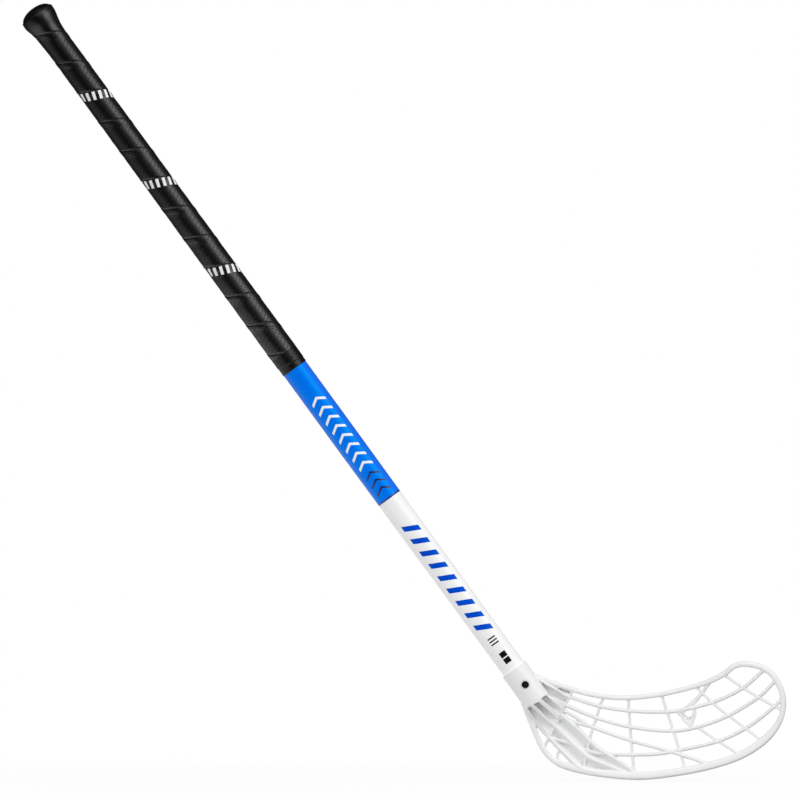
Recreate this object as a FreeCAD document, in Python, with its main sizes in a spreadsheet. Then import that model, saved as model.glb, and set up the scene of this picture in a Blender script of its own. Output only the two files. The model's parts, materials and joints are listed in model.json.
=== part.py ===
import FreeCAD, Part
import math
import os
import re

import Sketcher

# Floorball stick held in the playing pose, in millimetres.
# +X runs along the floor towards the toe of the blade, +Z is up, and -Y is the side of the cupped blade face.
# The origin is on the shaft's axis, in the middle of the straight stretch of the hand grip.

doc = FreeCAD.newDocument("floorball_stick")
sheet = doc.addObject("Spreadsheet::Sheet", "Sizes")

sizes = {
    # Whole stick.
    "lie_angle": 53.9,
    "shaft_length": 870,
    "cut_overrun": 4,
    # Stretches along the shaft, one after the other from the top of the butt.
    "cap_height": 7.5,
    "knob_rim_drop": 4,
    "knob_flare_length": 32.5,
    "grip_length": 393.7,
    "tape_width": 18.4,
    "film_straight_length": 88.9,
    "film_taper_length": 75.4,
    # Shaft tube.
    "shaft_top_diameter": 27,
    "shaft_end_diameter": 24.9,
    "tube_wall": 2,
    # End cap.
    "cap_overhang": 2.7,
    "cap_rim_height": 2.2,
    "cap_flat_diameter": 15,
    "cap_plug_length": 24,
    "cap_plug_wall": 2.2,
    "cap_fit": 0.05,
    # Knob at the butt: how far its tape stands out from the tube at the rim and at the mouth.
    "knob_swell": 4.65,
    "knob_mouth_swell": 3.4,
    "collar_flare_length": 30.5,
    "collar_edge": 0.2,
    # Grip winding.
    "wrap_thickness": 0.95,
    "lap_pitch": 36.8,
    "lap_gap": 0.6,
    "lap_lead_in": 14.3,
    # Finishing tape and printed film.
    "tape_thickness": 0.55,
    "film_thickness": 0.1,
    "film_fit": 0.02,
    # Blade, seen square on.
    "blade_reach": 258.2,
    "blade_drop": 86.1,
    "top_rail_width": 4.7,
    "toe_rail_width": 5.6,
    "sole_rail_width": 8,
    "heel_rail_width": 5.6,
    "long_rib_width": 3.8,
    "cross_rib_width": 3,
    "eyelet_diameter": 7.6,
    # Blade, through its thickness.
    "rail_depth": 8,
    "rib_depth": 5.4,
    "web_depth": 2.6,
    "hook_depth": 20,
    "scoop_depth": 4.5,
    # Hosel and the fingers that spread from it.
    "hosel_wall": 1.75,
    "hosel_overlap": 33.2,
    "hosel_foot": 7,
    "hosel_fit": 0.05,
    "hosel_seat_gap": 0.2,
    "finger_end_depth": 6,
    "finger_web_depth": 3,
    # Blade screw and the plug that it bites.
    "screw_height": 14.2,
    "screw_head_diameter": 7.4,
    "screw_head_height": 2.2,
    "screw_shank_diameter": 3.5,
    "screw_length": 14,
    "screw_point_length": 3,
    "screw_point_diameter": 1,
    "screw_fit": 0.05,
    "screw_tip_gap": 1,
    "screw_seat_depth": 0.85,
    "screw_seat_clearance": 0.4,
    "recess_span": 4.4,
    "recess_slot_width": 1.1,
    "recess_depth": 1.4,
    "plug_length": 32,
    "plug_end_gap": 1,
    "plug_fit": 0.05,
}

for row, (name, number) in enumerate(sizes.items(), start=1):
    sheet.set(f"A{row}", name)
    sheet.set(f"B{row}", str(number))
    sheet.setAlias(f"B{row}", name)
doc.recompute()

up = FreeCAD.Vector(0, 0, 1)
back = FreeCAD.Vector(0, 1, 0)
# What a sketch's constraint measures until its expression sets it.
unset_length = 1

# Places on the shaft, as expressions of the distance from the top of the butt.
knob_rim = "(cap_height + knob_rim_drop)"
collar_end = f"({knob_rim} + collar_flare_length)"
knob_end = f"({knob_rim} + knob_flare_length)"
grip_middle = f"({knob_end} + grip_length / 2)"
wrap_end = f"({knob_end} + grip_length)"
tape_end = f"({wrap_end} + tape_width)"
taper_start = f"({tape_end} + film_straight_length)"
film_end = f"({taper_start} + film_taper_length)"
screw_place = "(shaft_length - screw_height)"
plug_foot = "(shaft_length - plug_end_gap)"
plug_head = f"({plug_foot} - plug_length)"

# Radii that several pieces share, as expressions.
tube_radius = "(shaft_top_diameter / 2)"
tube_end_radius = "(shaft_end_diameter / 2)"
bore_radius = f"({tube_radius} - tube_wall)"
hosel_radius = f"({tube_end_radius} + hosel_fit + hosel_wall)"
# How far in front of the shaft's axis the screw's hole ends.
hole_end = f"({hosel_radius} - screw_seat_depth - screw_length - screw_tip_gap)"


def bound(text):
    # Turns plain size names into references to the sheet.
    return re.sub(r"[a-z_]+", lambda word: f"Sizes.{word[0]}" if word[0] in sizes else word[0], text)


def size(name):
    return float(sheet.get(name))


def tapered_radius(place):
    # Radius of the shaft at a place on its tapered stretch, as an expression.
    run = f"({place} - {taper_start}) / (shaft_length - {taper_start})"
    return f"({tube_radius} - ({tube_radius} - {tube_end_radius}) * {run})"


def lay_on_shaft(piece):
    # Lays a piece that is drawn along its own Z, from the butt down, on the shaft's axis.
    piece.Placement = FreeCAD.Placement(FreeCAD.Vector(), FreeCAD.Rotation(back, 90))
    piece.setExpression("Placement.Rotation.Angle", bound("90 + lie_angle"))
    piece.setExpression("Placement.Base.x", bound(f"-{grip_middle} * cos(lie_angle)"))
    piece.setExpression("Placement.Base.z", bound(f"{grip_middle} * sin(lie_angle)"))


def set_at(piece, place):
    # Sets a piece's own origin on the shaft's axis, at a place on the shaft.
    piece.setExpression("Placement.Base.x", bound(f"({place} - {grip_middle}) * cos(lie_angle)"))
    piece.setExpression("Placement.Base.z", bound(f"({grip_middle} - {place}) * sin(lie_angle)"))


def new_sketch(body, name, role):
    plane = next(feature for feature in body.Origin.OriginFeatures if feature.Role == role)
    sketch = body.newObject("Sketcher::SketchObject", name)
    sketch.AttachmentSupport = (plane, "")
    sketch.MapMode = "FlatFace"
    return sketch


def hold(sketch, kind, element, point, text):
    # Ties a point of a sketch to the sheet, measured from the sketch's origin.
    index = sketch.addConstraint(Sketcher.Constraint(kind, -1, 1, element, point, unset_length))
    sketch.setExpression(f"Constraints[{index}]", bound(text))


def draw_polygon(sketch, corners):
    # A closed outline whose corners are pairs of expressions.
    count = len(corners)
    turn = 2 * math.pi / count
    start = [FreeCAD.Vector(math.cos(turn * step), math.sin(turn * step), 0) for step in range(count)]
    for step in range(count):
        sketch.addGeometry(Part.LineSegment(start[step], start[(step + 1) % count]), False)
    for step in range(count):
        sketch.addConstraint(Sketcher.Constraint("Coincident", step, 2, (step + 1) % count, 1))
    for step, (across, along) in enumerate(corners):
        hold(sketch, "DistanceX", step, 1, across)
        hold(sketch, "DistanceY", step, 1, along)


def draw_circle(sketch, along, diameter):
    # A circle on the sketch's vertical axis.
    circle = sketch.addGeometry(Part.Circle(), False)
    sketch.addConstraint(Sketcher.Constraint("PointOnObject", circle, 3, -2))
    hold(sketch, "DistanceY", circle, 3, along)
    width = sketch.addConstraint(Sketcher.Constraint("Diameter", circle, unset_length))
    sketch.setExpression(f"Constraints[{width}]", bound(diameter))


def turned_body(name, corners):
    # A body of revolution about its own Z, from corners given as radius and height.
    body = doc.addObject("PartDesign::Body", name)
    body.Label = name
    profile = new_sketch(body, f"{name}_profile", "XZ_Plane")
    draw_polygon(profile, corners)
    turned = body.newObject("PartDesign::Revolution", f"{name}_turned")
    turned.Profile = profile
    turned.ReferenceAxis = (profile, ["V_Axis"])
    turned.Angle = 360
    doc.recompute()
    return body


def cut_pocket(body, name, sketch, depth, flipped):
    # A pocket that has to take material away.
    before = body.Shape.Volume
    pocket = body.newObject("PartDesign::Pocket", name)
    pocket.Profile = sketch
    pocket.setExpression("Length", bound(depth))
    pocket.Reversed = flipped
    doc.recompute()
    assert body.Shape.Volume < before, f"{name} cuts nothing"


def drill_for_screw(body, name):
    # The screw's hole, from behind its tip out of the front side.
    drawing = new_sketch(body, f"{name}_drawing", "XZ_Plane")
    drawing.setExpression("AttachmentOffset.Base.z", bound(hole_end))
    draw_circle(drawing, screw_place, "screw_shank_diameter + 2 * screw_fit")
    cut_pocket(body, name, drawing, f"{tube_radius} + cut_overrun - {hole_end}", True)


# Shaft tube: straight under the grip, then tapered to the blade.
tube = turned_body("shaft_tube", [
    (bore_radius, "cap_height"),
    (tube_radius, "cap_height"),
    (tube_radius, taper_start),
    (tube_end_radius, "shaft_length"),
    (f"{tube_end_radius} - tube_wall", "shaft_length"),
    (bore_radius, taper_start),
])
drill_for_screw(tube, "tube_screw_hole")
lay_on_shaft(tube)

# End cap: a dome with a flat top, and a hollow plug that fits the tube's bore.
dome_shares = [(0, 0), (0.38, 0.1), (0.72, 0.36), (0.93, 0.7), (1, 1)]
cap_radius = f"({tube_radius} + cap_overhang)"
cap_flat_radius = "(cap_flat_diameter / 2)"
dome = [
    (f"{cap_flat_radius} + ({cap_radius} - {cap_flat_radius}) * {outward}",
     f"(cap_height - cap_rim_height) * {downward}")
    for outward, downward in dome_shares
]
cap = turned_body("end_cap", [("0", "0")] + dome + [
    (cap_radius, "cap_height"),
    (f"{bore_radius} - cap_fit", "cap_height"),
    (f"{bore_radius} - cap_fit", "cap_height + cap_plug_length"),
    (f"{bore_radius} - cap_fit - cap_plug_wall", "cap_height + cap_plug_length"),
    (f"{bore_radius} - cap_fit - cap_plug_wall", "cap_height"),
    ("0", "cap_height"),
])
lay_on_shaft(cap)

# Butt collar: the flare under the tape.
collar_outside = [
    (f"{tube_radius} + knob_mouth_swell - wrap_thickness", "cap_height"),
    (f"{tube_radius} + knob_swell - wrap_thickness", knob_rim),
    (f"{tube_radius} + collar_edge", collar_end),
]
collar_inside = [(tube_radius, collar_end), (tube_radius, "cap_height")]
collar = turned_body("butt_collar", collar_outside + collar_inside)
lay_on_shaft(collar)

# Grip winding: one unbroken band round the collar and the tube, parted from itself by a helical gap.
wrap = turned_body("grip_wrap", collar_outside + [
    (tube_radius, collar_end),
    (tube_radius, wrap_end),
    (f"{tube_radius} + wrap_thickness", wrap_end),
    (f"{tube_radius} + wrap_thickness", knob_end),
    (f"{tube_radius} + knob_swell", knob_rim),
    (f"{tube_radius} + knob_mouth_swell", "cap_height"),
])
gap_inside = f"{tube_radius} - cut_overrun"
gap_outside = f"{tube_radius} + knob_swell + cut_overrun"
gap_profile = new_sketch(wrap, "lap_gap_profile", "XZ_Plane")
draw_polygon(gap_profile, [
    (gap_inside, "-lap_lead_in"),
    (gap_outside, "-lap_lead_in"),
    (gap_outside, "lap_gap - lap_lead_in"),
    (gap_inside, "lap_gap - lap_lead_in"),
])
doc.recompute()
sleeve_volume = wrap.Shape.Volume
laps = wrap.newObject("PartDesign::SubtractiveHelix", "laps")
laps.Profile = gap_profile
laps.ReferenceAxis = (gap_profile, ["V_Axis"])
laps.Mode = "pitch-height-angle"
laps.setExpression("Pitch", bound("lap_pitch"))
laps.setExpression("Height", bound(f"{wrap_end} + lap_lead_in + cut_overrun"))
laps.LeftHanded = True
laps.Reversed = False
doc.recompute()
assert wrap.Shape.Volume < sleeve_volume, "laps cut nothing"
lay_on_shaft(wrap)

# Finishing tape: a band on the tube that closes the winding.
tape = turned_body("finishing_tape", [
    (tube_radius, wrap_end),
    (f"{tube_radius} + tape_thickness", wrap_end),
    (f"{tube_radius} + tape_thickness", tape_end),
    (tube_radius, tape_end),
])
lay_on_shaft(tape)

# Printed film: a thin sleeve from the tape to below the start of the taper.
film_inside = [(tube_radius, tape_end), (tube_radius, taper_start), (tapered_radius(film_end), film_end)]
film = turned_body("shaft_film", [
    (f"{radius} + film_fit", place) for radius, place in film_inside
] + [
    (f"{radius} + film_fit + film_thickness", place) for radius, place in reversed(film_inside)
])
lay_on_shaft(film)

# Shaft end plug: fills the tube's lower end behind the screw.
plug = turned_body("shaft_end_plug", [
    ("0", plug_head),
    (f"{tapered_radius(plug_head)} - tube_wall - plug_fit", plug_head),
    (f"{tapered_radius(plug_foot)} - tube_wall - plug_fit", plug_foot),
    ("0", plug_foot),
])
drill_for_screw(plug, "plug_screw_hole")
lay_on_shaft(plug)

# Blade screw: a pan head with a cross recess, drawn along its own Z with the seat of the head at zero.
screw = turned_body("blade_screw", [
    ("0", "screw_head_height"),
    ("screw_head_diameter / 2 - screw_head_height / 2", "screw_head_height"),
    ("screw_head_diameter / 2", "screw_head_height / 2"),
    ("screw_head_diameter / 2", "0"),
    ("screw_shank_diameter / 2", "0"),
    ("screw_shank_diameter / 2", "screw_point_length - screw_length"),
    ("screw_point_diameter / 2", "-screw_length"),
    ("0", "-screw_length"),
])
for name, wide, tall in [("recess_across", "recess_span", "recess_slot_width"),
                         ("recess_upright", "recess_slot_width", "recess_span")]:
    slot = new_sketch(screw, f"{name}_drawing", "XY_Plane")
    slot.setExpression("AttachmentOffset.Base.z", bound("screw_head_height"))
    draw_polygon(slot, [
        (f"-{wide} / 2", f"-{tall} / 2"),
        (f"{wide} / 2", f"-{tall} / 2"),
        (f"{wide} / 2", f"{tall} / 2"),
        (f"-{wide} / 2", f"{tall} / 2"),
    ])
    cut_pocket(screw, name, slot, "recess_depth", False)
screw.Placement = FreeCAD.Placement(FreeCAD.Vector(), FreeCAD.Rotation(FreeCAD.Vector(1, 0, 0), 90))
screw.setExpression("Placement.Base.y", bound(f"screw_seat_depth - {hosel_radius}"))
set_at(screw, screw_place)

# Blade. Its outline and ribs are places read from the photograph, in pixels, and two sizes scale them:
# the reach from the shaft's end to the toe, and the drop from the shaft's end to the sole.
shaft_end_pixel = (533.3, 695.6)
toe_pixel = 785.6
sole_pixel = 779.8
toe_top_pixel = 661

top_rail_pixels = [(525, 668), (545, 677), (567, 685.5), (592, 692.3), (622, 695.5), (660, 692), (700, 682)]
toe_rail_pixels = [(721, 672), (732, 663.6), (745, 661), (763, 665), (777, 677), (785, 697), (782.5, 719)]
sole_rail_pixels = [(769, 740), (745, 757), (715, 768), (680, 775.5), (640, 779.8), (600, 777), (570, 771)]
heel_rail_pixels = [(553, 763.5), (540, 749), (528, 722), (518, 696)]

long_rib_pixels = [
    [(532, 673), (548, 683), (571, 697), (600, 706.5), (630, 711), (660, 712), (681, 710), (713, 702),
     (742, 688), (765, 668)],
    [(544, 691), (567, 704), (595, 717.5), (630, 727), (670, 731), (697, 727), (728, 715.5), (758, 697),
     (777, 678)],
    [(559, 708), (576, 717.5), (592, 727), (630, 740.5), (672, 752), (707, 763.5), (714, 766)],
    [(558, 717), (575, 722.5), (592, 727)],
    [(586, 750.5), (615, 754), (650, 754.5), (680, 750), (718, 741), (747, 727), (770, 709.5), (783, 697)],
    [(522, 700), (532, 718), (549, 738), (562, 752), (580, 770)],
]
cross_rib_pixels = [
    [(573, 689), (562, 712), (549, 738), (542, 751)],
    [(604, 696), (595, 718), (588, 740), (582, 772)],
    [(628, 696), (630, 727), (634, 775)],
    [(660.5, 693), (672.5, 729), (686, 772)],
    [(694, 685), (712, 702.5), (729, 716), (765, 743)],
    [(722, 673.5), (742, 687), (758, 697), (783, 711)],
    [(697, 727), (717, 740.5), (741, 755.5)],
    [(681, 711), (700, 695), (711, 680.5)],
    [(560.5, 749), (557.5, 755), (559, 764)],
    [(558, 718), (573, 733), (588, 748)],
    [(555, 726), (571, 743.5), (588, 757), (610, 766), (636, 775)],
    [(551, 735), (565, 748), (584, 768)],
]
eyelet_plate_pixels = [(678, 711), (684, 707.5), (692, 706.5), (697, 710), (696.5, 717), (696, 727),
                       (690, 725), (683, 719)]
eyelet_pixel = (688, 711.7)
web_pixels = [(559, 716), (588, 746), (606, 755), (634, 769.5), (640, 775), (600, 772), (578, 767),
              (562, 752), (549, 738), (556, 723)]
hosel_web_pixels = [(535, 672), (549, 679), (571, 689), (571, 699), (562, 708), (545, 695)]
finger_edge_pixels = [(571, 692), (549, 738)]
finger_slot_pixels = [
    [(523.5, 702.5), (526.5, 702), (541, 716.5), (554, 727.5), (550.5, 735), (536, 720)],
    [(533.5, 704), (538.5, 702), (558, 719.5), (555, 725)],
    [(540.5, 698), (545.5, 694.5), (561.5, 710), (559, 714)],
    [(537, 679), (549, 687.5), (568.5, 697), (565.5, 702.5), (557, 698.5), (547, 692.5)],
    [(548, 682), (560, 687), (571, 691.5), (570, 694.5), (558, 690)],
]

lie = math.radians(size("lie_angle"))
down_shaft = FreeCAD.Vector(math.cos(lie), 0, -math.sin(lie))
across_shaft = FreeCAD.Vector(math.sin(lie), 0, math.cos(lie))
onto_shaft = FreeCAD.Placement(FreeCAD.Vector(), FreeCAD.Rotation(back, 90 + size("lie_angle")))
reach_scale = size("blade_reach") / (toe_pixel - shaft_end_pixel[0])
drop_scale = size("blade_drop") / (sole_pixel - shaft_end_pixel[1])
overrun = size("cut_overrun")
socket_radius = size("shaft_end_diameter") / 2 + size("hosel_fit")
hosel_outside = socket_radius + size("hosel_wall")


def blade_point(pixel):
    # The place of a pixel in the blade's plane, from the centre of the shaft's end.
    x = (pixel[0] - shaft_end_pixel[0]) * reach_scale
    z = (shaft_end_pixel[1] - pixel[1]) * drop_scale
    return FreeCAD.Vector(x, 0, z)


def smooth_curve(points):
    curve = Part.BSplineCurve()
    curve.interpolate(points)
    return curve


def strip_face(pixels, outer_widths, inner_widths):
    # A flat strip beside a smooth line, given its width on either side of each point.
    points = [blade_point(pixel) for pixel in pixels]
    line = smooth_curve(points)
    outer = []
    inner = []
    for point, outward, inward in zip(points, outer_widths, inner_widths):
        along = FreeCAD.Vector(*line.tangent(line.parameter(point))[0])
        across = along.cross(back)
        outer.append(point + across * outward)
        inner.append(point - across * inward)
    inner.reverse()
    sides = [smooth_curve(outer).toShape(), smooth_curve(inner).toShape()]
    ends = [Part.makeLine(outer[-1], inner[0]), Part.makeLine(inner[-1], outer[0])]
    return Part.Face(Part.Wire([sides[0], ends[0], sides[1], ends[1]]))


def rib_face(pixels, width):
    halves = [width / 2] * len(pixels)
    return strip_face(pixels, halves, halves)


def polygon_face(pixels):
    corners = [blade_point(pixel) for pixel in pixels]
    return Part.Face(Part.makePolygon(corners + corners[:1]))


def cupped_slab(depth):
    # A slab of the blade's curvature: hooked towards the toe and scooped from sole to top.
    reach = size("blade_reach")
    hook_radius = (reach ** 2 + size("hook_depth") ** 2) / (2 * size("hook_depth"))
    sole = blade_point((toe_pixel, sole_pixel)).z
    half_height = (blade_point((toe_pixel, toe_top_pixel)).z - sole) / 2
    scoop_radius = (half_height ** 2 + size("scoop_depth") ** 2) / (2 * size("scoop_depth"))
    spread = math.asin((half_height + overrun) / scoop_radius)
    centre = FreeCAD.Vector(0, size("scoop_depth") / 2 - scoop_radius, sole + half_height)

    def on_arc(radius, angle):
        return centre + FreeCAD.Vector(0, radius * math.cos(angle), radius * math.sin(angle))

    near, far = scoop_radius - depth / 2, scoop_radius + depth / 2
    far_arc = Part.Arc(on_arc(far, -spread), on_arc(far, 0), on_arc(far, spread)).toShape()
    near_arc = Part.Arc(on_arc(near, spread), on_arc(near, 0), on_arc(near, -spread)).toShape()
    ends = [Part.makeLine(on_arc(far, spread), on_arc(near, spread)),
            Part.makeLine(on_arc(near, -spread), on_arc(far, -spread))]
    section = Part.Face(Part.Wire([far_arc, ends[0], near_arc, ends[1]]))
    hook_axis = FreeCAD.Vector(0, -hook_radius, 0)
    heel_turn = math.degrees(math.asin(2 * hosel_outside / hook_radius))
    toe_turn = math.degrees(math.asin((reach + overrun) / hook_radius))
    section.rotate(hook_axis, up, heel_turn)
    return section.revolve(hook_axis, -up, heel_turn + toe_turn)


def cupped(face, depth):
    # A flat face given the blade's curvature and a depth.
    span = size("hook_depth") + size("scoop_depth") + depth
    return face.translated(-back * span).extrude(back * (2 * span)).common(cupped_slab(depth))


def rails():
    pixels = []
    widths = []
    for run, width in [(top_rail_pixels, "top_rail_width"), (toe_rail_pixels, "toe_rail_width"),
                       (sole_rail_pixels, "sole_rail_width"), (heel_rail_pixels, "heel_rail_width")]:
        pixels += run
        widths += [size(width)] * len(run)
    return cupped(strip_face(pixels, [0] * len(pixels), widths), size("rail_depth"))


def ribs():
    faces = [rib_face(pixels, size("long_rib_width")) for pixels in long_rib_pixels]
    faces += [rib_face(pixels, size("cross_rib_width")) for pixels in cross_rib_pixels]
    lattice = polygon_face(eyelet_plate_pixels).multiFuse(faces).removeSplitter()
    eyelet = Part.Circle(blade_point(eyelet_pixel), back, size("eyelet_diameter") / 2)
    return cupped(lattice.cut(Part.Face(Part.Wire(eyelet.toShape()))), size("rib_depth"))


def hosel():
    # The sleeve round the shaft's end, and the fingers that spread from its foot to the first cross rib.
    length = size("hosel_overlap") + size("hosel_foot")
    sleeve = Part.makeCylinder(hosel_outside, length, up * -size("hosel_overlap"), up)
    sleeve.Placement = onto_shaft.multiply(sleeve.Placement)
    foot = down_shaft * size("hosel_foot")
    edge = across_shaft * hosel_outside
    foot_ring = Part.Circle(foot + edge, foot + back * hosel_outside, foot - edge)
    upper, lower = [blade_point(pixel) for pixel in finger_edge_pixels]
    middle = (upper + lower) / 2
    finger_ring = Part.Ellipse(upper, middle + back * (size("finger_end_depth") / 2), middle)
    fingers = Part.makeLoft([Part.Wire(foot_ring.toShape()), Part.Wire(finger_ring.toShape())], True, True)
    body = sleeve.fuse(fingers)
    web = back * (size("finger_web_depth") / 2)
    for pixels in finger_slot_pixels:
        face = polygon_face(pixels)
        body = body.cut(face.translated(web).extrude(back * hosel_outside))
        body = body.cut(face.translated(-web).extrude(-back * hosel_outside))
    return body


def hosel_cuts():
    # The tapered socket for the shaft, and the screw's hole with a flat seat for its head.
    before_taper = ["cap_height", "knob_rim_drop", "knob_flare_length", "grip_length", "tape_width",
                    "film_straight_length"]
    taper_length = size("shaft_length") - sum(size(name) for name in before_taper)
    slope = (size("shaft_top_diameter") - size("shaft_end_diameter")) / 2 / taper_length
    depth = size("hosel_overlap") + overrun
    socket = Part.makeCone(socket_radius + slope * depth, socket_radius, depth, up * -depth, up)
    landing = Part.makeCylinder(socket_radius, size("hosel_seat_gap"))
    centre = up * -size("screw_height")
    hole_radius = size("screw_shank_diameter") / 2 + size("screw_fit")
    hole = Part.makeCylinder(hole_radius, hosel_outside + overrun, centre, -back)
    seat_radius = size("screw_head_diameter") / 2 + size("screw_seat_clearance")
    seat_centre = centre - back * (hosel_outside - size("screw_seat_depth"))
    seat = Part.makeCylinder(seat_radius, size("screw_seat_depth") + overrun, seat_centre, -back)
    cuts = [socket, landing, hole, seat]
    for cut in cuts:
        cut.Placement = onto_shaft.multiply(cut.Placement)
    return cuts


webs = [cupped(polygon_face(pixels), size("web_depth")) for pixels in (web_pixels, hosel_web_pixels)]
blade = doc.addObject("Part::Feature", "blade")
blade.Label = "blade"
blade.Shape = rails().multiFuse([ribs(), hosel()] + webs).cut(hosel_cuts()).removeSplitter()
set_at(blade, "shaft_length")
doc.recompute()

# Least gap between neighbouring turns of the winding, measured across the gap on points of its two edges.
turn_radius = size("shaft_top_diameter") / 2 + size("wrap_thickness")
points_per_turn = 360
lower_edge = FreeCAD.Vector(turn_radius, 0, size("lap_gap"))
gaps = []
for step in range(-points_per_turn // 4, points_per_turn // 4):
    angle = 2 * math.pi * step / points_per_turn
    rise = size("lap_pitch") * step / points_per_turn
    upper_edge = FreeCAD.Vector(turn_radius * math.cos(angle), turn_radius * math.sin(angle), rise)
    gaps.append(upper_edge.distanceToPoint(lower_edge))
print(f"grip_wrap: least gap between turns {min(gaps):.2f} mm")

pieces = [tube, cap, collar, wrap, tape, film, plug, screw, blade]
for item in doc.Objects:
    assert not {"Invalid", "Error"} & set(item.State), f"{item.Label}: {item.State}"
for piece in pieces:
    shape = piece.Shape
    assert not shape.isNull() and shape.isValid(), f"{piece.Label} has no valid shape"
    print(f"{piece.Label}: {len(shape.Solids)} solid, {shape.Volume:.0f} mm3")

os.makedirs("parts", exist_ok=True)
for piece in pieces:
    piece.Shape.exportStep(f"parts/{piece.Label}.step")
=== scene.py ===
import json
import math

import bmesh
import bpy
import numpy as np
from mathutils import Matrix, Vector, noise


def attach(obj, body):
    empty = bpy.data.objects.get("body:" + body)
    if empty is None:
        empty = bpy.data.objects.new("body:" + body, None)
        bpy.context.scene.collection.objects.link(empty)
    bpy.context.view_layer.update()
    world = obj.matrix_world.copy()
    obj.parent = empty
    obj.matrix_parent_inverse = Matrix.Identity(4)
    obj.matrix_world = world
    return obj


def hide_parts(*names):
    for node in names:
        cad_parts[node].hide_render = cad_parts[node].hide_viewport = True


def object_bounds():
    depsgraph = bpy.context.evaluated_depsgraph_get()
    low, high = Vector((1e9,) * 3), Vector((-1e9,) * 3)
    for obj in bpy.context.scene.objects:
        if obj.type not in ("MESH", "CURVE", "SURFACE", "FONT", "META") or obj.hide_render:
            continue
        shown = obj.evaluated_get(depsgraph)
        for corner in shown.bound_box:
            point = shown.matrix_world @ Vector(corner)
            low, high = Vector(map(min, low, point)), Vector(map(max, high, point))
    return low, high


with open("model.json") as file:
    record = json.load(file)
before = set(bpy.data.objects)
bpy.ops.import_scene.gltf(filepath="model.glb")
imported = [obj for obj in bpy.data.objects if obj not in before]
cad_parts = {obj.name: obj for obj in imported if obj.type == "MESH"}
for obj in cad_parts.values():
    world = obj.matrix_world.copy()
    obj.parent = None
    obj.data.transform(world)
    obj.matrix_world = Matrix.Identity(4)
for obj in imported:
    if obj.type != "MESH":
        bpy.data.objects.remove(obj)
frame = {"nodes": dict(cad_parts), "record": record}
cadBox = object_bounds()
mm = 0.001  # the pieces' dictionaries are in millimetres, the meshes in metres
tau = 2 * math.pi
quarter = math.radians(90)
tapeAngle = 50  # tape is soft, so only edges steeper than this are sharp on it

mounts = {mount["name"]: mount for mount in frame["record"]["mounts"]}
butt = Vector(mounts["butt_face"]["pos_m"])  # top of the cap
down = -Vector(mounts["butt_face"]["axis"]).normalized()  # along the shaft, butt to blade
front = Vector((0, -1, 0))  # the side that the camera sees
side = front.cross(down)  # upper right in the picture


def onShaft(along, radius, turn):  # mm from the butt, mm from the axis, radians from the upper right side
    return butt + mm * (down * along + (side * math.cos(turn) + front * math.sin(turn)) * radius)


def soften(low, high, value):  # 0 at low, 1 at high, smooth between
    share = min(max((value - low) / (high - low), 0), 1)
    return share * share * (3 - 2 * share)


def readTable(table, place):  # straight between the places of a table
    return float(np.interp(place, *zip(*table)))


def grey(level):
    return (level, level, level)


# Mesh helpers

def roundCorners(profile, radius, most=0.4):  # a closed outline with its corners eased
    eased = []
    for index, corner in enumerate(profile):
        corner = Vector(corner)
        before = Vector(profile[index - 1]) - corner
        after = Vector(profile[(index + 1) % len(profile)]) - corner
        reach = min(radius, most * before.length, most * after.length)
        first = corner + before.normalized() * reach
        last = corner + after.normalized() * reach
        eased += [first, (first + corner * 2 + last) / 4, last]
    return eased


def smoothLine(points, spacing=1.3):  # a smooth line through places, with a point every spacing
    points = [np.array(point, float) for point in points]
    points = [2 * points[0] - points[1]] + points + [2 * points[-1] - points[-2]]
    line = []
    for p0, p1, p2, p3 in zip(points, points[1:], points[2:], points[3:]):
        count = max(2, int(np.linalg.norm(p2[:2] - p1[:2]) / spacing))
        for step in range(count):
            t = step / count
            line.append(0.5 * (2 * p1 + (p2 - p0) * t + (2 * p0 - 5 * p1 + 4 * p2 - p3) * t ** 2
                               + (3 * p1 - p0 - 3 * p2 + p3) * t ** 3))
    return line + [points[-2]]


def addLoft(mesh, rings, capped=True):  # a skin over a row of rings, any of which may be a single point
    for ring, nextRing in zip(rings, rings[1:]):
        for step in range(len(ring)):
            other = (step + 1) % len(ring)
            corners = list(dict.fromkeys([ring[step], ring[other], nextRing[other], nextRing[step]]))
            if len(corners) > 2:
                mesh.faces.new(corners)
    if capped:
        mesh.faces.new(rings[0])
        mesh.faces.new(rings[-1])


def turnOutline(mesh, outline, place=onShaft, segments=144, tiny=1e-6):  # turns an outline about an axis
    turns = [tau * step / segments for step in range(segments)]
    rings = []
    for along, radius in outline:
        if radius < tiny:
            rings.append([mesh.verts.new(place(along, 0, 0))] * segments)
        else:
            rings.append([mesh.verts.new(place(along, radius, turn)) for turn in turns])
    addLoft(mesh, rings + rings[:1], capped=False)


def addRing(mesh, start, end, inner, outer, edge):  # a ring round the shaft with eased edges
    turnOutline(mesh, roundCorners([(start, inner), (start, outer), (end, outer), (end, inner)], edge))


def addSlab(mesh, lifts, rows, columns, place):  # a thin slab, its points given by place(row, column, lift)
    low, high = [[[mesh.verts.new(place(row, column, lift)) for column in range(columns + 1)]
                  for row in range(rows + 1)] for lift in lifts]
    for grid in (low, high):
        for near, far in zip(grid, grid[1:]):
            for column in range(columns):
                mesh.faces.new([near[column], far[column], far[column + 1], near[column + 1]])
    for row in range(rows):
        for column in (0, columns):
            mesh.faces.new([low[row][column], low[row + 1][column], high[row + 1][column], high[row][column]])
    for row in (0, rows):
        for column in range(columns):
            mesh.faces.new([low[row][column], low[row][column + 1], high[row][column + 1], high[row][column]])


def addToScene(name, data):
    thing = bpy.data.objects.new(name, data)
    bpy.context.scene.collection.objects.link(thing)
    return thing


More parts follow.
